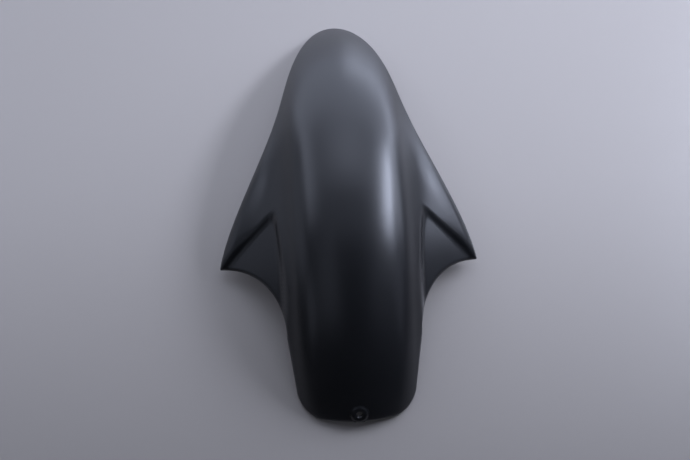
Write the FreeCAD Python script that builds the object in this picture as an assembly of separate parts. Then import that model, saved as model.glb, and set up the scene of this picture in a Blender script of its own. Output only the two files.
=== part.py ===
import FreeCAD, Part
import math
import os

Vec = FreeCAD.Vector
origin = Vec(0.0, 0.0, 0.0)
x_axis = Vec(1.0, 0.0, 0.0)
z_axis = Vec(0.0, 0.0, 1.0)

# Driving dimensions in millimetres and degrees
# Angles run round the wheel axle from the top, minus toward the front tip
crown_radius = 320.0
wall = 3.2
tip_angle = -46.8
rear_angle = 44.6

# Section across the tyre: crown arc, shoulder arc, straight flank, wide valley arc, straight wing
crown_arc = 96.0
crown_turn = 24.0
shoulder_arc = 50.0
flank_turn = 50.0
flank_width = 2.0
valley_arc = 120.0
wing_turn = 33.0

# Leaf-shaped front edge
nose_radius = 15.2
flare_start = 24.0
flare_run = 38.0
flare_width = 30.5
wing_angle = 15.0
wing_tip_round = 2.5

# Recess behind the ridge of each wing, its apex a little way out along the valley
apex_gap = 14.5
apex_angle = 3.5
recess_depth = 6.5
ridge_slope = 55.0
inner_slope = 72.0
inner_gap = 1.5
inner_taper = 5.0
recess_round = 3.0
ridge_round = 3.5

# Concave trailing edge and rear tongue
trailing_radius = 66.0
shoulder_angle = 30.0
rear_half_width = 56.5
rear_corner = 25.0

# Rear fixing boss
boss_radius = 8.5
boss_height = 2.0
boss_bevel = 1.2
boss_inset = 9.0
boss_hole = 6.5

# Fork ears under the wings, level given above the table
ear_half_width = 84.0
ear_thickness = 4.0
ear_hole = 6.5
ear_pitch = 32.0
ear_front = 16.0
ear_level = 23.0
ear_pad_radius = 11.0

# Room that the cutting tools keep beyond the part
spare_angle = 6.0
spare_width = 20.0
spare_depth = 60.0


def smoothstep(t):
    t = min(max(t, 0.0), 1.0)
    return t * t * (3.0 - 2.0 * t)


def wheel_point(x, angle, drop):
    turn = math.radians(angle)
    radius = crown_radius - drop
    return Vec(x, -radius * math.sin(turn), radius * math.cos(turn))


def radial(angle):
    return wheel_point(0.0, angle, crown_radius - 1.0)


def leaf_half_width(q):
    arc = crown_radius * math.radians(q)
    return math.sqrt(2.0 * nose_radius * arc) + flare_width * smoothstep((q - flare_start) / flare_run)


wing_half_span = leaf_half_width(wing_angle - tip_angle)


# A stop is a place on the section: half-width, drop below the crown and turn of the skin there
def bend_on(stop, arc, turn):
    x, drop, start = stop
    a = math.radians(start)
    b = math.radians(turn)
    return x + arc * (math.sin(b) - math.sin(a)), drop + arc * (math.cos(a) - math.cos(b)), turn


def straight_on(stop, width):
    x, drop, turn = stop
    return x + width, drop + width * math.tan(math.radians(turn)), turn


crown_stop = (0.0, 0.0, 0.0)
shoulder_stop = bend_on(crown_stop, crown_arc, crown_turn)
flank_stop = bend_on(shoulder_stop, shoulder_arc, flank_turn)
valley_stop = straight_on(flank_stop, flank_width)
wing_stop = bend_on(valley_stop, -valley_arc, wing_turn)
outer_stop = straight_on(wing_stop, wing_half_span + spare_width - wing_stop[0])
bends = [(shoulder_stop, flank_stop, shoulder_arc), (valley_stop, wing_stop, -valley_arc)]
runs = [(flank_stop, valley_stop), (wing_stop, outer_stop)]


def section_point(stop, depth, side):
    x, drop, turn = stop
    a = math.radians(turn)
    return Vec(side * (x - depth * math.sin(a)), 0.0, crown_radius - drop - depth * math.cos(a))


# The section's skin lies the given depth below the outer skin, measured square to it
def section_face(depth):
    sides = (-1.0, 1.0)
    shoulders = [section_point(shoulder_stop, depth, side) for side in sides]
    ends = [section_point(outer_stop, depth, side) for side in sides]
    feet = [Vec(end.x, 0.0, end.z - spare_depth) for end in ends]
    lines = [Part.Arc(shoulders[0], section_point(crown_stop, depth, 1.0), shoulders[1]),
             Part.LineSegment(feet[0], feet[1])]
    for side, end, foot in zip(sides, ends, feet):
        lines.append(Part.LineSegment(end, foot))
        for first, last in runs:
            lines.append(Part.LineSegment(section_point(first, depth, side), section_point(last, depth, side)))
        for first, last, arc in bends:
            middle = bend_on(first, arc, 0.5 * (first[2] + last[2]))
            lines.append(Part.Arc(*[section_point(stop, depth, side) for stop in (first, middle, last)]))
    return Part.Face(Part.Wire(Part.__sortEdges__([line.toShape() for line in lines])))


def swept_body(depth):
    face = section_face(depth).rotated(origin, x_axis, tip_angle - spare_angle)
    return face.revolve(origin, x_axis, rear_angle - tip_angle + 2.0 * spare_angle)


# The recess floor follows the wing at a depth below it, and carries on under the barrel
def floor_body(depth):
    inner_stop = straight_on(wing_stop, shoulder_stop[0] - wing_stop[0])
    floor = [section_point(stop, depth, 1.0) for stop in (inner_stop, outer_stop)]
    top = [Vec(point.x, 0.0, crown_radius + spare_width) for point in floor]
    face = Part.Face(Part.makePolygon([floor[0], floor[1], top[1], top[0], floor[0]]))
    face.rotate(origin, x_axis, -spare_angle)
    return face.revolve(origin, x_axis, rear_angle + 3.0 * spare_angle)


# A recess wall rises from the line between two places and faces the line's right-hand side
def wall_plane(start, end, slope):
    line = (end - start).normalize()
    facing = line.cross(radial(wing_angle)).normalize()
    tilt = math.radians(slope)
    return start, facing * math.sin(tilt) + facing.cross(line) * math.cos(tilt)


def wing_point(x, angle, depth):
    drop = straight_on(wing_stop, x - wing_stop[0])[1]
    return wheel_point(x, angle, drop + depth / math.cos(math.radians(wing_turn)))


apex_half_width = valley_stop[0] + apex_gap
inner_front = apex_half_width + inner_gap
ridge_plane = wall_plane(wing_point(apex_half_width, apex_angle, 0.0),
                         wing_point(wing_half_span, wing_angle, 0.0), ridge_slope)
inner_plane = wall_plane(wing_point(inner_front - inner_taper, shoulder_angle, recess_depth),
                         wing_point(inner_front, apex_angle, recess_depth), inner_slope)


def half_space(point, normal):
    size = 4.0 * wing_half_span
    box = Part.makeBox(size, size, size, Vec(-0.5 * size, -0.5 * size, 0.0))
    box.Placement = FreeCAD.Placement(point, FreeCAD.Rotation(z_axis, normal))
    return box


def edge_middle(edge):
    return edge.valueAt(0.5 * (edge.FirstParameter + edge.LastParameter))


def recess_tool(grow):
    walls = [half_space(point - normal * grow, normal) for point, normal in (ridge_plane, inner_plane)]
    return floor_body(recess_depth + grow).common(walls[0]).common(walls[1])


def both_sides(shape):
    return [shape, shape.mirror(origin, x_axis)]


def recessed_body(depth, tool):
    return swept_body(depth).cut(both_sides(tool))


# Folds and ridges are rounded on the outside; inside, the wall keeps plain corners
def rounded_folds(tool):
    curved = [face for face in tool.Faces if not face.Surface.isPlanar()]
    floor = min(curved, key=lambda face: face.CenterOfMass.z)
    folds = []
    for edge in floor.Edges:
        gaps = [abs(normal.dot(edge_middle(edge) - point)) for point, normal in (ridge_plane, inner_plane)]
        if min(gaps) < 0.001:
            folds.append(edge)
    return tool.makeFillet(recess_round, folds)


# A ridge is an edge that lies on both the swept skin and a ridge wall
def rounded_ridges(body):
    skin = swept_body(0.0).Shells[0]
    point, normal = ridge_plane
    ridges = []
    for edge in body.Edges:
        places = [edge_middle(edge)] + [vertex.Point for vertex in edge.Vertexes]
        gaps = [abs(normal.dot(Vec(abs(place.x), place.y, place.z) - point)) for place in places]
        if max(gaps) < 0.001 and skin.distToShape(Part.Vertex(places[0]))[0] < 0.001:
            ridges.append(edge)
    return body.makeFillet(ridge_round, ridges)


# The outline is a chain of half-widths and angles, cut through the shell toward the axle
corner_angle = rear_angle - math.degrees(rear_corner / crown_radius)


def leaf_point(share):
    q = (wing_angle - tip_angle) * share ** 2
    return math.copysign(leaf_half_width(q), share), tip_angle + q


def trailing_point(turn):
    bend = math.radians(turn)
    x = wing_half_span - trailing_radius * math.sin(bend)
    return x, shoulder_angle - (shoulder_angle - wing_angle) * math.cos(bend)


def tongue_half_width(angle):
    start = wing_half_span - trailing_radius
    return start + (rear_half_width - start) * (angle - shoulder_angle) / (rear_angle - shoulder_angle)


def corner_point(turn):
    bend = math.radians(turn)
    x = tongue_half_width(corner_angle) - rear_corner * (1.0 - math.cos(bend))
    return x, corner_angle + (rear_angle - corner_angle) * math.sin(bend)


def outline_wall(places):
    rims = []
    for drop in (-spare_width, 0.5 * crown_radius):
        rim = Part.BSplineCurve()
        points = [wheel_point(x, angle, drop) for x, angle in places]
        rim.interpolate(Points=points, Parameters=[float(k) for k in range(len(points))])
        rims.append(rim.toShape())
    return Part.makeRuledSurface(rims[0], rims[1])


# The wing tip is rounded between the leaf edge and the trailing edge
def tip_place(t):
    ends = (leaf[-1], leaf_point(1.0), trailing[0])
    shares = ((1.0 - t) ** 2, 2.0 * t * (1.0 - t), t ** 2)
    return tuple(sum(share * end[axis] for share, end in zip(shares, ends)) for axis in (0, 1))


leaf_end = math.sqrt(1.0 - math.degrees(wing_tip_round / crown_radius) / (wing_angle - tip_angle))
trailing_start = math.degrees(wing_tip_round / trailing_radius)
leaf = [leaf_point(leaf_end * k / 14.0) for k in range(-14, 15)]
trailing = [trailing_point(trailing_start + (90.0 - trailing_start) * k / 6.0) for k in range(7)]
tip = [tip_place(k / 4.0) for k in range(5)]
corner = [corner_point(turn) for turn in range(0, 91, 15)]
tongue = [trailing[-1], corner[0]]
rear = [corner[-1], (-corner[-1][0], corner[-1][1])]
outline_walls = [outline_wall(leaf), outline_wall(rear)]
for places in (tip, trailing, tongue, corner):
    outline_walls += both_sides(outline_wall(places))

outer_body = rounded_ridges(recessed_body(0.0, rounded_folds(recess_tool(0.0))))
shell = outer_body.cut(recessed_body(wall, recess_tool(wall)))
crown_point = Vec(0.0, 0.0, crown_radius - 0.5 * wall)
pieces = shell.generalFuse(outline_walls)[0].Solids
mudguard = next(piece for piece in pieces if piece.isInside(crown_point, 0.01, False))

# The boss stands on the crown just ahead of the rear edge
boss_angle = rear_angle - math.degrees(boss_inset / crown_radius)
boss_foot = radial(boss_angle) * (crown_radius - 0.5 * wall)
boss = Part.makeCylinder(boss_radius, boss_height + 0.5 * wall, boss_foot, radial(boss_angle))
boss_rims = [edge for edge in boss.Edges if edge.CenterOfMass.Length > crown_radius + 0.9 * boss_height]
mudguard = mudguard.fuse(boss.makeChamfer(boss_bevel, boss_rims))
hole_foot = radial(boss_angle) * (crown_radius - 3.0 * wall)
mudguard = mudguard.cut(Part.makeCylinder(0.5 * boss_hole, 6.0 * wall, hole_foot, radial(boss_angle)))

# The part rests on its front tip and its two rear corners, centred over the origin
ear_limit = recessed_body(0.5 * wall, recess_tool(0.5 * wall))
for _ in range(3):
    points = mudguard.tessellate(0.2)[0]
    front = min((point for point in points if point.y > 0.0), key=lambda point: point.z)
    back = min((point for point in points if point.y < 0.0), key=lambda point: point.z)
    level = math.degrees(math.atan2(front.z - back.z, front.y - back.y))
    mudguard = mudguard.rotated(origin, x_axis, -level)
    ear_limit = ear_limit.rotated(origin, x_axis, -level)
box = mudguard.optimalBoundingBox(False, False)
settle = Vec(0.0, -box.Center.y, -box.ZMin)
mudguard = mudguard.translated(settle)
ear_limit = ear_limit.translated(settle)

# Each ear is a plate with round lower corners that ends inside the wall it hangs from
ear_rear = ear_front - ear_pitch
front_end = ear_front + ear_pad_radius
rear_end = ear_rear - ear_pad_radius
ear_foot = ear_level - ear_pad_radius
diagonal = ear_pad_radius * math.sqrt(0.5)
ear_top = box.ZLength


def ear_plate(side):
    x = side * ear_half_width - 0.5 * ear_thickness
    corners = [Vec(x, front_end, ear_top), Vec(x, front_end, ear_level), Vec(x, ear_front, ear_foot),
               Vec(x, ear_rear, ear_foot), Vec(x, rear_end, ear_level), Vec(x, rear_end, ear_top)]
    front_bend = Vec(x, ear_front + diagonal, ear_level - diagonal)
    rear_bend = Vec(x, ear_rear - diagonal, ear_level - diagonal)
    lines = [Part.LineSegment(corners[0], corners[1]), Part.Arc(corners[1], front_bend, corners[2]),
             Part.LineSegment(corners[2], corners[3]), Part.Arc(corners[3], rear_bend, corners[4]),
             Part.LineSegment(corners[4], corners[5]), Part.LineSegment(corners[5], corners[0])]
    face = Part.Face(Part.Wire([line.toShape() for line in lines]))
    return face.extrude(Vec(ear_thickness, 0.0, 0.0))


for side in (-1.0, 1.0):
    mudguard = mudguard.fuse(ear_plate(side).common(ear_limit))
    for y in (ear_front, ear_rear):
        start = Vec(side * (ear_half_width - ear_thickness), y, ear_level)
        mudguard = mudguard.cut(Part.makeCylinder(0.5 * ear_hole, 2.0 * ear_thickness, start, Vec(side, 0.0, 0.0)))
mudguard = mudguard.Solids[0]
print("valid", mudguard.isValid(), "faces", len(mudguard.Faces), "volume cm3", round(mudguard.Volume / 1000.0, 1))

os.makedirs("parts", exist_ok=True)
mudguard.exportStep("parts/mudguard.step")
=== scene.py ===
import bmesh
import bpy
from math import asin, atan2, cos, degrees, pi, radians, sin, sqrt, tan
from mathutils import Matrix, Vector
from mathutils.kdtree import KDTree


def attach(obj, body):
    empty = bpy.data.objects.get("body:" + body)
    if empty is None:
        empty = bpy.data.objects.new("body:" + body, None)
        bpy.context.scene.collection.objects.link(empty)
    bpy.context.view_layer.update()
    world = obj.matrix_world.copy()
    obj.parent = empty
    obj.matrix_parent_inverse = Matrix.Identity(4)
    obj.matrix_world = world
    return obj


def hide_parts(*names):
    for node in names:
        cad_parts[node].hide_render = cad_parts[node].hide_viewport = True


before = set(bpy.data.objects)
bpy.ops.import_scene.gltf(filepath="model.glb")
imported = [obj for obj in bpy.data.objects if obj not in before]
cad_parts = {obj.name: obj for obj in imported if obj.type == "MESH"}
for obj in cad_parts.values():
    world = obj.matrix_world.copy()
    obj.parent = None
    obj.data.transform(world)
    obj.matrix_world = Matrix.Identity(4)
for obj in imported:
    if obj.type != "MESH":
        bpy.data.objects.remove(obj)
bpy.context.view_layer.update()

mm = 0.001  # sizes are written in mm, meshes are in metres

# angles in degrees round the wheel axle from the top, minus toward the nose
shell = {
    "crownRadius": 320.0, "wall": 3.2, "tipAngle": -46.8, "rearAngle": 44.6,
    "crownArc": 96.0, "crownTurn": 24.0,                    # the section, from the crown outward
    "shoulderArc": 50.0, "flankTurn": 50.0, "flankWidth": 2.0,
    "valleyArc": 120.0, "wingTurn": 33.0,
    "noseRadius": 15.2, "flareStart": 24.0, "flareRun": 38.0, "flareWidth": 30.5,
    "wingAngle": 15.0, "wingTipRound": 2.5,
    "apexGap": 14.5, "apexAngle": 3.5, "recessDepth": 3.5,  # ridge and recess of each wing
    "ridgeSlope": 18.0, "innerSlope": 72.0, "innerGap": 3.2, "innerTaper": 5.0,
    "foldSoftness": 3.0, "apexSoftness": 15.0, "ridgeSoftness": 3.0, "innerSoftness": 4.5,
    "softnessBlend": 12.0, "leastRise": 0.05, "outOfReach": 1e6,
    "rollHeight": 2.3, "rollPeak": 6.0, "rollReach": 26.0,  # rolled leaf edge
    "rollStart": 30.0, "rollFull": 46.0,
    "rimReach": 3.0, "rimDrop": 2.2,                        # the outer side rounds off further than the inner
    "trailingRadius": 66.0, "shoulderAngle": 30.0, "rearHalfWidth": 56.5, "rearCorner": 25.0,
    "turn": 0.0317, "settle": (-4.033, -216.991),           # how the part lies on the table
    "sharpAngle": 50.0,
}

# rows and columns of faces over the sheet
weave = {
    "leafRows": 46, "ridgeRows": 22, "recessRows": 28, "tongueRows": 14, "cornerRows": 10,
    "inward": 28, "outward": 16, "columnEase": 1.6,         # columns crowd at the valley
    "rim": (3.4, 2.5, 1.7, 1.05, 0.5, 0.15, 0.0),           # mm from the edge, for the round rim
    "noseTurn": 1.6, "noseEase": 0.12, "leafEase": 1.25,    # rows crowd at the nose
    "ridgeBand": (-7.0, 10.0),                              # mm of crown arc about the ridge
    "leafLast": 2.4, "tipFrom": 0.3, "tipTo": 0.62, "trailingTurn": 7.0,   # where the ridge's rows meet the edge
    "foldFrom": 0.35, "foldOver": 0.6, "unfoldFrom": 0.75,  # which rows fold at the valley
    "valleyInset": 1.5, "valleyShare": 0.72, "valleyBlend": 8.0,
    "cornerTurn": 45.0, "mergeGap": 0.004, "leastLength": 1e-9,
}


def smoothstep(t):
    t = min(max(t, 0.0), 1.0)
    return t * t * (3.0 - 2.0 * t)


def softMin(a, b, k):
    h = max(k - abs(a - b), 0.0) / k
    return min(a, b) - 0.25 * k * h * h


def softMax(a, b, k):
    return -softMin(-a, -b, k)


def radial(angle):
    return Vector((0.0, -sin(radians(angle)), cos(radians(angle))))


# half-width of the leaf outline, q degrees behind the tip of the nose
def leafHalfWidth(q):
    arc = shell["crownRadius"] * radians(q)
    flare = shell["flareWidth"] * smoothstep((q - shell["flareStart"]) / shell["flareRun"])
    return sqrt(2.0 * shell["noseRadius"] * arc) + flare


# a stop is a place on the section: half-width, drop below the crown, turn of the skin
def bendOn(stop, arc, turn):
    x, drop, start = stop
    return (x + arc * (sin(radians(turn)) - sin(radians(start))),
            drop + arc * (cos(radians(start)) - cos(radians(turn))), turn)


def straightOn(stop, width):
    x, drop, turn = stop
    return x + width, drop + width * tan(radians(turn)), turn


leafRun = shell["wingAngle"] - shell["tipAngle"]
halfSpan = leafHalfWidth(leafRun)
crownStop = (0.0, 0.0, 0.0)
shoulderStop = bendOn(crownStop, shell["crownArc"], shell["crownTurn"])
flankStop = bendOn(shoulderStop, shell["shoulderArc"], shell["flankTurn"])
valleyStop = straightOn(flankStop, shell["flankWidth"])
wingStop = bendOn(valleyStop, -shell["valleyArc"], shell["wingTurn"])


# depth is measured into the wall, square to the skin
def lowered(stop, depth):
    x, drop, turn = stop
    return x - depth * sin(radians(turn)), drop + depth * cos(radians(turn))


def arcDrop(stop, arc, x, depth):
    centreX = stop[0] - arc * sin(radians(stop[2]))
    centreDrop = stop[1] + arc * cos(radians(stop[2]))
    reach = sqrt(max((arc - depth) ** 2 - (x - centreX) ** 2, 0.0))
    return centreDrop - reach if arc > 0.0 else centreDrop + reach


def wingDrop(x, depth):
    turn = radians(wingStop[2])
    return wingStop[1] + (x - wingStop[0]) * tan(turn) + depth / cos(turn)


def sectionDrop(x, depth):
    if x < lowered(shoulderStop, depth)[0]:
        return arcDrop(crownStop, shell["crownArc"], x, depth)
    if x < lowered(flankStop, depth)[0]:
        return arcDrop(shoulderStop, shell["shoulderArc"], x, depth)
    if x < lowered(valleyStop, depth)[0]:
        startX, startDrop = lowered(flankStop, depth)
        return startDrop + (x - startX) * tan(radians(shell["flankTurn"]))
    if x < lowered(wingStop, depth)[0]:
        return arcDrop(valleyStop, -shell["valleyArc"], x, depth)
    return wingDrop(x, depth)


def wheelPoint(x, angle, radius):
    return Vector((x, 0.0, 0.0)) + radial(angle) * radius


def wingPoint(x, angle, depth):
    return wheelPoint(x, angle, shell["crownRadius"] - wingDrop(x, depth))


# a sloped wall of the recess as a point and a normal
def wallPlane(start, end, slope):
    line = (end - start).normalized()
    facing = line.cross(radial(shell["wingAngle"])).normalized()
    return start, facing * sin(radians(slope)) + facing.cross(line) * cos(radians(slope))


apexX = valleyStop[0] + shell["apexGap"]
innerX = apexX + shell["innerGap"]
ridgePlane = wallPlane(wingPoint(apexX, shell["apexAngle"], 0.0),
                       wingPoint(halfSpan, shell["wingAngle"], 0.0), shell["ridgeSlope"])
innerPlane = wallPlane(wingPoint(innerX - shell["innerTaper"], shell["shoulderAngle"], shell["recessDepth"]),
                       wingPoint(innerX, shell["apexAngle"], shell["recessDepth"]), shell["innerSlope"])


def planeRadius(plane, x, angle, depth):
    point, normal = plane
    rise = normal.dot(radial(angle))
    if rise < shell["leastRise"]:
        return shell["outOfReach"]
    return (normal.dot(point) - depth - normal.x * x) / rise


# the leaf edge rises a little before it rolls down to the rim
def rollRise(x, angle):
    q = angle - shell["tipAngle"]
    if q < shell["rollStart"]:
        return 0.0
    ahead, behind = (leafHalfWidth(q + step) for step in (-0.5, 0.5))
    lean = (behind - ahead) / (shell["crownRadius"] * radians(1.0))   # over one degree
    gap = (leafHalfWidth(q) - x) / sqrt(1.0 + lean * lean)
    if gap < shell["rollPeak"]:
        share = smoothstep(gap / shell["rollPeak"])
    else:
        share = 1.0 - smoothstep((gap - shell["rollPeak"]) / (shell["rollReach"] - shell["rollPeak"]))
    grown = smoothstep((q - shell["rollStart"]) / (shell["rollFull"] - shell["rollStart"]))
    return shell["rollHeight"] * share * grown


# the skin's distance from the axle, with the ridge and the recess of each wing in it
def skinRadius(x, angle, depth):
    x = abs(x)
    body = shell["crownRadius"] - sectionDrop(x, depth) + rollRise(x, angle)
    floor = shell["crownRadius"] - wingDrop(x, shell["recessDepth"] + depth)
    ridge = planeRadius(ridgePlane, x, angle, depth)
    inner = planeRadius(innerPlane, x, angle, depth)
    walls = softMax(ridge, inner, shell["apexSoftness"])
    onInner = smoothstep((inner - ridge) / shell["softnessBlend"] + 0.5)
    softness = shell["ridgeSoftness"] + (shell["innerSoftness"] - shell["ridgeSoftness"]) * onInner
    return softMin(body, softMax(floor, walls, shell["foldSoftness"]), softness)


restTurn = Matrix.Rotation(radians(shell["turn"]), 3, "X")
restShift = Vector((0.0, shell["settle"][0], shell["settle"][1]))


# from mm about the axle to metres on the table
def onTable(point):
    return (restTurn @ point + restShift) * mm


def skinPoint(x, angle, depth):
    return onTable(wheelPoint(x, angle, skinRadius(x, angle, depth)))


def mmToDegrees(length):
    return degrees(length / shell["crownRadius"])


# stretches of the outline, each giving a half-width and an angle
def leafPlace(q):
    return leafHalfWidth(q), shell["tipAngle"] + q


def trailingPlace(turn):
    swing = shell["shoulderAngle"] - shell["wingAngle"]
    return (halfSpan - shell["trailingRadius"] * sin(radians(turn)),
            shell["shoulderAngle"] - swing * cos(radians(turn)))


cornerAngle = shell["rearAngle"] - mmToDegrees(shell["rearCorner"])
tongueStart = halfSpan - shell["trailingRadius"]


def tonguePlace(angle):
    share = (angle - shell["shoulderAngle"]) / (shell["rearAngle"] - shell["shoulderAngle"])
    return tongueStart + (shell["rearHalfWidth"] - tongueStart) * share, angle


cornerX = tonguePlace(cornerAngle)[0] - shell["rearCorner"]


def cornerPlace(turn):
    return (cornerX + shell["rearCorner"] * cos(radians(turn)),
            cornerAngle + (shell["rearAngle"] - cornerAngle) * sin(radians(turn)))


leafEnd = leafRun - mmToDegrees(shell["wingTipRound"])
trailingStart = degrees(shell["wingTipRound"] / shell["trailingRadius"])


# the wing tip is a curve from the leaf edge to the trailing edge
def tipPlace(t):
    ends = (leafPlace(leafEnd), leafPlace(leafRun), trailingPlace(trailingStart))
    shares = ((1.0 - t) ** 2, 2.0 * t * (1.0 - t), t * t)
    return tuple(sum(share * end[axis] for share, end in zip(shares, ends)) for axis in (0, 1))


# each row of the sheet: angle at the crown, place on the edge, how far it folds, whether it is a rear row
def sheetRows():
    rows = []
    ridgeStart, ridgeEnd = (shell["apexAngle"] + mmToDegrees(end) for end in weave["ridgeBand"])
    leafLast = leafEnd - weave["leafLast"]
    leafArc = shell["crownRadius"] * radians(ridgeStart - shell["tipAngle"])
    shares = [inset / leafArc for inset in reversed(weave["rim"])]
    rimEnd = shares[-1]
    shares += [rimEnd + (1.0 - rimEnd) * (k / weave["leafRows"]) ** weave["leafEase"]
               for k in range(1, weave["leafRows"])]
    for t in shares:
        crown = shell["tipAngle"] + (ridgeStart - shell["tipAngle"]) * t
        eased = (1.0 + weave["noseEase"]) * t * t / (t + weave["noseEase"])
        edge = leafPlace(weave["noseTurn"] + (leafLast - weave["noseTurn"]) * eased)
        rows.append((crown, edge, smoothstep((t - weave["foldFrom"]) / weave["foldOver"]), False))
    tipFrom, tipTo = weave["tipFrom"], weave["tipTo"]
    for k in range(weave["ridgeRows"] + 1):
        t = k / weave["ridgeRows"]
        if t < tipFrom:
            edge = leafPlace(leafLast + (leafEnd - leafLast) * t / tipFrom)
        elif t < tipTo:
            edge = tipPlace((t - tipFrom) / (tipTo - tipFrom))
        else:
            edge = trailingPlace(trailingStart + weave["trailingTurn"] * (t - tipTo) / (1.0 - tipTo))
        rows.append((ridgeStart + (ridgeEnd - ridgeStart) * t, edge, 1.0, False))
    recessStart = trailingStart + weave["trailingTurn"]
    for k in range(1, weave["recessRows"] + 1):
        t = k / weave["recessRows"]
        edge = trailingPlace(recessStart + (90.0 - recessStart) * t)
        unfolded = smoothstep((t - weave["unfoldFrom"]) / (1.0 - weave["unfoldFrom"]))
        rows.append((ridgeEnd + (shell["shoulderAngle"] - ridgeEnd) * t, edge, 1.0 - unfolded, False))
    for k in range(1, weave["tongueRows"] + 1):
        angle = shell["shoulderAngle"] + (cornerAngle - shell["shoulderAngle"]) * k / weave["tongueRows"]
        rows.append((angle, tonguePlace(angle), 0.0, False))
    rimShare = weave["rim"][0] / shell["rearCorner"]
    shares = [(1.0 - rimShare) * k / weave["cornerRows"] for k in range(1, weave["cornerRows"])]
    shares += [1.0 - inset / shell["rearCorner"] for inset in weave["rim"]]
    for t in shares:
        crown = cornerAngle + (shell["rearAngle"] - cornerAngle) * t
        edge = cornerPlace(degrees(asin(sin(radians(weave["cornerTurn"])) * t)))
        rows.append((crown, edge, t, True))
    return rows


# the last row lies on the rear edge and the round corners, the rows before it ease toward that
def rearDip(share):
    lastX = cornerPlace(weave["cornerTurn"])[0]
    past = max(share * lastX - cornerX, 0.0) / shell["rearCorner"]
    return 1.0 - sqrt(max(1.0 - past * past, 0.0))


# half-width at which a row folds
def valleyWidth(edgeX):
    return softMin(apexX - weave["valleyInset"], weave["valleyShare"] * edgeX, weave["valleyBlend"])


def rowAngle(row, x):
    crown, (edgeX, edgeAngle), folded, atRear = row
    if atRear:
        return crown - (shell["rearAngle"] - cornerAngle) * folded * rearDip(x / edgeX)
    bowed = crown + (edgeAngle - crown) * (x / edgeX) ** 2
    valleyX = valleyWidth(edgeX)
    bent = crown + (edgeAngle - crown) * max(x - valleyX, 0.0) / (edgeX - valleyX)
    return bowed + (bent - bowed) * folded


def columnPlaces(edgeX):
    valleyX = valleyWidth(edgeX)
    rimX = edgeX - weave["rim"][0]
    ease = weave["columnEase"]
    inward = [valleyX * (1.0 - (1.0 - k / weave["inward"]) ** ease) for k in range(weave["inward"])]
    outward = [valleyX + (rimX - valleyX) * (k / weave["outward"]) ** ease for k in range(weave["outward"])]
    return inward + outward + [edgeX - inset for inset in weave["rim"]]


# half-width and angle of every crossing, mirrored to both sides
crossings = []
for row in sheetRows():
    half = [(x, rowAngle(row, x)) for x in columnPlaces(row[1][0])]
    crossings.append([(-x, angle) for x, angle in reversed(half[1:])] + half)
rowCount = len(crossings) - 1
columnCount = len(crossings[0]) - 1
print("sheet", rowCount, "by", columnCount)

# the line on which the outer and the inner side meet at the rim, mm on the table
meets = [[skinPoint(x, angle, shell["rimDrop"]) / mm for x, angle in line] for line in crossings]
rightSide = [line[-1] for line in meets[1:]]
leftSide = [line[0] for line in meets[-2:0:-1]]
rimLoop = meets[0] + rightSide + meets[-1][-2::-1] + leftSide
rimTree = KDTree(len(rimLoop))
for index, point in enumerate(rimLoop):
    rimTree.insert(point, index)
rimTree.balance()


def rimGap(point):
    index = rimTree.find(point)[1]
    gaps = []
    for other in (rimLoop[index - 1], rimLoop[(index + 1) % len(rimLoop)]):
        run = other - rimLoop[index]
        share = (point - rimLoop[index]).dot(run) / max(run.length_squared, weave["leastLength"])
        gaps.append((rimLoop[index] + run * min(max(share, 0.0), 1.0) - point).length)
    return min(gaps)


def roundOff(gap, reach):
    inset = max(1.0 - gap / reach, 0.0)
    return 1.0 - sqrt(max(1.0 - inset * inset, 0.0))


def rimDepth(gap, outside):
    if outside:
        return shell["rimDrop"] * roundOff(gap, shell["rimReach"])
    inner = shell["wall"] - shell["rimDrop"]
    return shell["wall"] - inner * roundOff(gap, inner)


rimGaps = [[rimGap(point) for point in line] for line in meets]


# one side of the wall: a grid whose corners go to the crossings
def addSheet(bm, outside):
    verts = bmesh.ops.create_grid(bm, x_segments=columnCount, y_segments=rowCount, size=1.0)["verts"]
    for vert in verts:
        column = round((vert.co.x + 1.0) * 0.5 * columnCount)
        line = round((vert.co.y + 1.0) * 0.5 * rowCount)
        x, angle = crossings[line][column]
        vert.co = skinPoint(x, angle, rimDepth(rimGaps[line][column], outside))
    return verts


# rear boss, and the hole through it and the wall
boss = {
    "radius": 8.5, "height": 1.3, "inset": 9.0, "rearLimit": 8.8, "turns": 64,
    "hole": 3.25, "play": 0.05, "cleared": 4.9, "lipReach": 9.8, "rimGap": 2.0,   # hole in the wall
    "edge": 0.5, "edgeCut": 0.15,                                                 # rounded edge of the hole
    "footInside": 2.2, "footWidth": 3.4, "footOutside": 1.4, "footSteps": 12,     # soft outer foot
}
bossAngle = shell["rearAngle"] - mmToDegrees(boss["inset"])
bossAxis = (restTurn @ radial(bossAngle)).normalized()
bossFoot = skinPoint(0.0, bossAngle, 0.0)
bossSide = Vector((1.0, 0.0, 0.0))
bossFore = bossAxis.cross(bossSide)


def fromBossAxis(point):
    offset = point - bossFoot
    return (offset - bossAxis * offset.dot(bossAxis)) / mm


def aroundHole(edge):
    near = all(fromBossAxis(vert.co).length < boss["lipReach"] for vert in edge.verts)
    return near and not all(rimGap(vert.co / mm) < boss["rimGap"] for vert in edge.verts)


def openHole(bm, verts, outside):
    sheet = set(verts)
    faces = [face for face in bm.faces if face.verts[0] in sheet
             and fromBossAxis(face.calc_center_median()).length < boss["cleared"]]
    bmesh.ops.delete(bm, geom=faces, context="FACES")
    lip = [edge for edge in bm.edges if edge.is_boundary and edge.verts[0] in sheet and aroundHole(edge)]
    ring = bmesh.ops.extrude_edge_only(bm, edges=lip)["geom"]
    ringVerts = {item for item in ring if isinstance(item, bmesh.types.BMVert)}
    depth = 0.0 if outside else shell["wall"]
    for vert in ringVerts:
        out = fromBossAxis(vert.co).normalized() * (boss["hole"] + boss["play"])
        vert.co = bossFoot + (out - bossAxis * depth) * mm
    return [item for item in ring if isinstance(item, bmesh.types.BMEdge) and set(item.verts) <= ringVerts]


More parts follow.
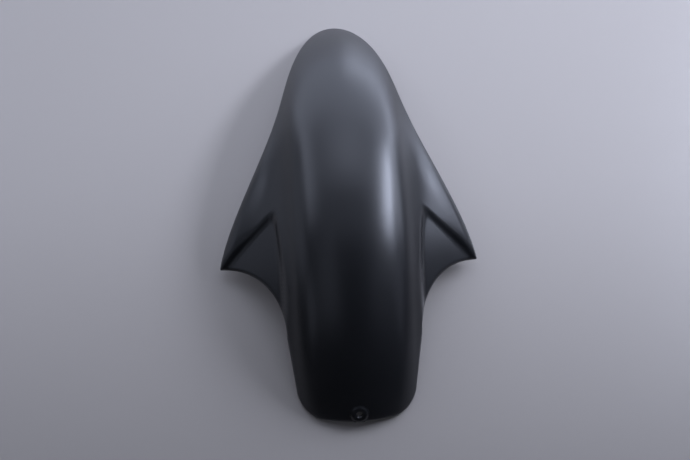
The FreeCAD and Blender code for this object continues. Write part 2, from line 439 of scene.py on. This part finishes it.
def addBoss(bm):
    inner, outer, top = boss["hole"], boss["radius"], boss["height"]
    sunk = -0.5 * shell["wall"]
    profile = [(inner, sunk), (inner, top - boss["edge"]),
               (inner + boss["edgeCut"], top - boss["edgeCut"]), (inner + boss["edge"], top)]
    for step in range(1, boss["footSteps"] + 1):
        share = step / boss["footSteps"]
        profile.append((outer - boss["footInside"] + boss["footWidth"] * share, top * (1.0 - smoothstep(share))))
    profile.append((outer + boss["footOutside"], sunk))
    before = set(bm.verts)
    verts = [bm.verts.new(bossFoot + (bossSide * r + bossAxis * h) * mm) for r, h in profile]
    edges = [bm.edges.new(pair) for pair in zip(verts, verts[1:] + verts[:1])]
    bmesh.ops.spin(bm, geom=verts + edges, cent=bossFoot, axis=bossAxis, angle=2.0 * pi,
                   steps=boss["turns"], use_merge=True)
    for vert in set(bm.verts) - before:  # the foot ends at the tongue's rear edge
        past = -(vert.co - bossFoot).dot(bossFore) - boss["rearLimit"] * mm
        vert.co += bossFore * max(past, 0.0)


# fork ears under the wings, mm on the table
ear = {
    "halfWidth": 84.0, "thickness": 4.0, "hole": 3.25, "front": 16.0, "pitch": 32.0, "level": 23.0,
    "pad": 11.0, "edge": 0.5, "edgeSteps": 2, "topSteps": 12, "cornerSteps": 9, "turns": 32,
    "firstHeight": 60.0, "heightTries": 12,
}
earRear = ear["front"] - ear["pitch"]


# height of the wall's middle above a place on the table
def wallHeight(x, y):
    back = restTurn.inverted()
    z = ear["firstHeight"]
    for attempt in range(ear["heightTries"]):
        local = back @ (Vector((x, y, z)) - restShift)
        angle = degrees(atan2(-local.y, local.z))
        radius = skinRadius(x, angle, 0.5 * shell["wall"])
        z += (radius - sqrt(local.y ** 2 + local.z ** 2)) / cos(radians(angle))
    return z


# an ear's outline in y and z at half-width x: along the wall, then round both lower corners
def earPlaces(x):
    front, rear = ear["front"] + ear["pad"], earRear - ear["pad"]
    tops = [front + (rear - front) * k / ear["topSteps"] for k in range(ear["topSteps"] + 1)]
    places = [(y, wallHeight(x, y)) for y in tops]
    for centre, start in ((earRear, 180.0), (ear["front"], 270.0)):
        for k in range(ear["cornerSteps"] + 1):
            turn = radians(start + 90.0 * k / ear["cornerSteps"])
            places.append((centre + ear["pad"] * cos(turn), ear["level"] + ear["pad"] * sin(turn)))
    return places


def addEarHole(bm, x, y):
    spot = Matrix.Translation(Vector((x, y, ear["level"])) * mm) @ Matrix.Rotation(0.5 * pi, 4, "Y")
    circle = bmesh.ops.create_circle(bm, cap_ends=False, segments=ear["turns"], radius=ear["hole"] * mm, matrix=spot)
    ring = set(circle["verts"])
    return [edge for edge in bm.edges if set(edge.verts) <= ring]


def addEar(bm, side):
    sheets = []
    for x in (ear["halfWidth"] - 0.5 * ear["thickness"], ear["halfWidth"] + 0.5 * ear["thickness"]):
        verts = [bm.verts.new(Vector((side * x, y, z)) * mm) for y, z in earPlaces(x)]
        outline = [bm.edges.new(pair) for pair in zip(verts, verts[1:] + verts[:1])]
        holes = [addEarHole(bm, side * x, y) for y in (ear["front"], earRear)]
        bmesh.ops.triangle_fill(bm, edges=outline + holes[0] + holes[1], use_beauty=True)
        sheets.append([outline] + holes)
    for first, second in zip(*sheets):
        bmesh.ops.bridge_loops(bm, edges=first + second)
    bmesh.ops.recalc_face_normals(bm, faces=bm.faces)
    sharp = []
    for outline, frontHole, rearHole in sheets:
        sharp += outline[ear["topSteps"]:] + frontHole + rearHole  # the top is inside the wall
    bmesh.ops.bevel(bm, geom=sharp, offset=ear["edge"] * mm, offset_type="OFFSET", affect="EDGES",
                    segments=ear["edgeSteps"], profile=0.5, material=-1)


def makeShell():
    bm = bmesh.new()
    rings = []
    for outside in (True, False):
        verts = addSheet(bm, outside)
        rings.append(openHole(bm, verts, outside))
    bmesh.ops.bridge_loops(bm, edges=rings[0] + rings[1])
    bmesh.ops.remove_doubles(bm, verts=bm.verts, dist=weave["mergeGap"] * mm)
    for side in (-1.0, 1.0):
        addEar(bm, side)
    addBoss(bm)
    bmesh.ops.recalc_face_normals(bm, faces=bm.faces)
    mesh = bpy.data.meshes.new("mudguardShell")
    bm.to_mesh(mesh)
    bm.free()
    mesh.shade_smooth()
    mesh.set_sharp_from_angle(angle=radians(shell["sharpAngle"]))
    piece = bpy.data.objects.new("mudguardShell", mesh)
    bpy.context.scene.collection.objects.link(piece)
    return piece


shellPiece = makeShell()
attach(shellPiece, "root")
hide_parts("mudguard")
print("shell", len(shellPiece.data.polygons), "faces")


# shader maths on sockets
class Wire:
    def __init__(self, tree, socket=None):
        self.tree = tree
        self.socket = socket

    def node(self, kind, settings=None, inputs=None, out=0):
        made = self.tree.nodes.new(kind)
        for key, value in (settings or {}).items():
            setattr(made, key, value)
        for key, value in (inputs or {}).items():
            if isinstance(value, Wire):
                self.tree.links.new(value.socket, made.inputs[key])
            else:
                made.inputs[key].default_value = value
        return Wire(self.tree, made.outputs[out])

    def maths(self, operation, first, second):
        return self.node("ShaderNodeMath", {"operation": operation}, {0: first, 1: second})

    def __add__(self, other):
        return self.maths("ADD", self, other)

    def __radd__(self, other):
        return self.maths("ADD", other, self)

    def __sub__(self, other):
        return self.maths("SUBTRACT", self, other)

    def __rsub__(self, other):
        return self.maths("SUBTRACT", other, self)

    def __mul__(self, other):
        return self.maths("MULTIPLY", self, other)

    def __rmul__(self, other):
        return self.maths("MULTIPLY", other, self)


# a Mix node's colours are its sockets 6 and 7, and the mixed one is its output 2
def mixColours(start, factor, first, second):
    return start.node("ShaderNodeMix", {"data_type": "RGBA"}, {"Factor": factor, 6: first, 7: second}, out=2)


plastic = {
    "dark": (0.0085, 0.009, 0.0108, 1.0), "light": (0.012, 0.0126, 0.015, 1.0), "ior": 1.58,
    "roughness": 0.31, "roughSpread": 0.08, "cloudScale": 22.0, "cloudDetail": 4.0, "cloudMiddle": 0.5,
    "grainScale": 1400.0, "grainDetail": 3.0, "grainHeight": 0.00002, "grainStrength": 0.35,
}


def makePlastic():
    material = bpy.data.materials.new("mattBlackPlastic")
    material.use_nodes = True
    tree = material.node_tree
    surface = tree.nodes["Principled BSDF"]
    surface.inputs["IOR"].default_value = plastic["ior"]
    start = Wire(tree)
    place = start.node("ShaderNodeTexCoord", out="Object")
    cloud = start.node("ShaderNodeTexNoise", out="Fac", inputs={
        "Vector": place, "Scale": plastic["cloudScale"], "Detail": plastic["cloudDetail"]})
    grain = start.node("ShaderNodeTexNoise", out="Fac", inputs={
        "Vector": place, "Scale": plastic["grainScale"], "Detail": plastic["grainDetail"]})
    shade = mixColours(start, cloud, plastic["dark"], plastic["light"])
    rough = plastic["roughness"] + (cloud - plastic["cloudMiddle"]) * plastic["roughSpread"]
    bump = start.node("ShaderNodeBump", inputs={
        "Height": grain, "Strength": plastic["grainStrength"], "Distance": plastic["grainHeight"]})
    tree.links.new(shade.socket, surface.inputs["Base Color"])
    tree.links.new(rough.socket, surface.inputs["Roughness"])
    tree.links.new(bump.socket, surface.inputs["Normal"])
    return material


shellPiece.data.materials.append(makePlastic())
print("plastic done")

# pale floor with painted shade that darkens it behind the part's middle, soft lamps, camera at the photo's view
studio = {
    # the second floor tone is painted shade, the darker colour the floor takes behind the part's middle
    "floor": (0.50, 0.463, 0.431, 1.0), "floorPaintedShade": (0.30, 0.278, 0.259, 1.0), "floorHalf": 9.0,
    "floorRoughness": 0.28, "paintedShadeFrom": 0.05, "paintedShadeTo": -0.55,
    "world": (0.30, 0.31, 0.34, 1.0), "worldStrength": 0.06,
    "target": (-0.005868, -0.052194, 0.075), "azimuth": -8.38, "elevation": 67.305, "roll": 5.322,
    "distance": 1.035179, "lens": 55.037,
    "lampColour": (0.735, 0.80, 1.0),
    # middle, aim, long side's direction, length, width, spread in degrees, watts
    "lamps": {
        "far": ((0.1, 1.65, 0.54), (0.0, 0.0, 0.1), (1.0, 0.0, 0.0), 4.2, 1.06, 180.0, 25.0),
        "above": ((0.1, 0.88, 1.05), (0.0, 0.2, 0.0), (1.0, 0.0, 0.0), 2.6, 0.85, 90.0, 3.1),
        "top": ((0.05, 0.3, 1.7), (0.0, 0.1, 0.0), (1.0, 0.0, 0.0), 2.2, 0.8, 180.0, 2.0),
        "farRight": ((0.85, 1.4, 0.2), (0.0, 0.0, 0.08), (1.0, -0.5, 0.0), 1.5, 0.4, 180.0, 4.8),
        "right": ((1.03, 0.42, 0.86), (0.0, 0.0, 0.1), (0.2, -0.82, 0.54), 0.8, 0.26, 100.0, 3.9),
        "left": ((-0.972, 0.6, 0.9), (0.0, 0.0, 0.1), (-0.2, -0.82, 0.54), 0.9, 0.4, 100.0, 0.66),
        "lowRight": ((1.45, 0.66, 0.53), (0.0, 0.0, 0.05), (0.0, 1.0, 0.0), 1.0, 0.5, 180.0, 5.1),
        "lowLeft": ((-1.5, 0.35, 0.55), (0.0, 0.0, 0.05), (0.0, 1.0, 0.0), 1.1, 0.6, 180.0, 1.15),
        "lowFarLeft": ((-1.6, 0.85, 0.15), (0.0, 0.0, 0.05), (0.45, 0.9, 0.0), 1.7, 0.3, 180.0, 0.8),
        "sideLeft": ((-1.35, -0.6, 0.85), (0.0, 0.0, 0.08), (0.0, 1.0, 0.0), 0.6, 0.5, 180.0, 0.45),
        "sideRight": ((1.4, -0.45, 0.66), (0.0, 0.0, 0.08), (0.0, 1.0, 0.0), 0.6, 0.5, 180.0, 0.4),
        "rearFloor": ((0.2, -2.05, 2.2), (0.2, -2.05, 0.0), (1.0, 0.0, 0.0), 5.0, 1.4, 50.0, 46.0),
        "rearRight": ((0.95, -0.5, 1.3), (0.0, -0.05, 0.08), (0.0, 1.0, 0.0), 1.0, 0.7, 180.0, 0.4),
        "rearLeft": ((-0.8, -0.55, 1.45), (0.0, -0.05, 0.08), (0.0, 1.0, 0.0), 1.0, 0.7, 180.0, 0.7),
    },
}


def makeFloor():
    bm = bmesh.new()
    bmesh.ops.create_grid(bm, x_segments=1, y_segments=1, size=studio["floorHalf"])
    mesh = bpy.data.meshes.new("floor")
    bm.to_mesh(mesh)
    bm.free()
    floor = bpy.data.objects.new("floor", mesh)
    bpy.context.scene.collection.objects.link(floor)
    material = bpy.data.materials.new("paleFloor")
    material.use_nodes = True
    surface = material.node_tree.nodes["Principled BSDF"]
    surface.inputs["Roughness"].default_value = studio["floorRoughness"]
    start = Wire(material.node_tree)
    place = start.node("ShaderNodeTexCoord", out="Object")
    ahead = start.node("ShaderNodeSeparateXYZ", inputs={0: place}, out="Y")
    # painted shade: the floor colour turns to the darker tone from y 0.05 down to y -0.55
    near = start.node("ShaderNodeMapRange", {"interpolation_type": "SMOOTHSTEP"}, {
        "Value": ahead, "From Min": studio["paintedShadeFrom"], "From Max": studio["paintedShadeTo"]})
    tone = mixColours(start, near, studio["floor"], studio["floorPaintedShade"])
    material.node_tree.links.new(tone.socket, surface.inputs["Base Color"])
    mesh.materials.append(material)


def makeLamp(name, middle, aim, along, length, width, spread, watts):
    light = bpy.data.lights.new(name, "AREA")
    light.shape = "RECTANGLE"
    light.size, light.size_y = length, width
    light.energy = watts
    light.spread = radians(spread)
    light.color = studio["lampColour"]
    lamp = bpy.data.objects.new(name, light)
    back = (Vector(middle) - Vector(aim)).normalized()
    longSide = Vector(along)
    longSide = (longSide - back * longSide.dot(back)).normalized()
    turned = Matrix((longSide, back.cross(longSide), back)).transposed().to_4x4()
    lamp.matrix_world = Matrix.Translation(Vector(middle)) @ turned
    bpy.context.scene.collection.objects.link(lamp)


def makeCamera():
    azimuth, elevation, roll = (radians(studio[key]) for key in ("azimuth", "elevation", "roll"))
    back = Vector((sin(azimuth) * cos(elevation), -cos(azimuth) * cos(elevation), sin(elevation)))
    level = Vector((cos(azimuth), sin(azimuth), 0.0))
    upright = back.cross(level)
    across = level * cos(roll) + upright * sin(roll)
    upward = upright * cos(roll) - level * sin(roll)
    lensData = bpy.data.cameras.new("camera")
    lensData.lens = studio["lens"]
    camera = bpy.data.objects.new("camera", lensData)
    turned = Matrix((across, upward, back)).transposed().to_4x4()
    camera.matrix_world = Matrix.Translation(Vector(studio["target"]) + back * studio["distance"]) @ turned
    bpy.context.scene.collection.objects.link(camera)
    bpy.context.scene.camera = camera


makeFloor()
for lampName, lampData in studio["lamps"].items():
    makeLamp(lampName + "Lamp", *lampData)
makeCamera()
world = bpy.context.scene.world or bpy.data.worlds.new("studio")
bpy.context.scene.world = world
world.use_nodes = True
sky = world.node_tree.nodes["Background"]
sky.inputs["Color"].default_value = studio["world"]
sky.inputs["Strength"].default_value = studio["worldStrength"]
bpy.context.scene.view_settings.view_transform = "Standard"
print("studio done")
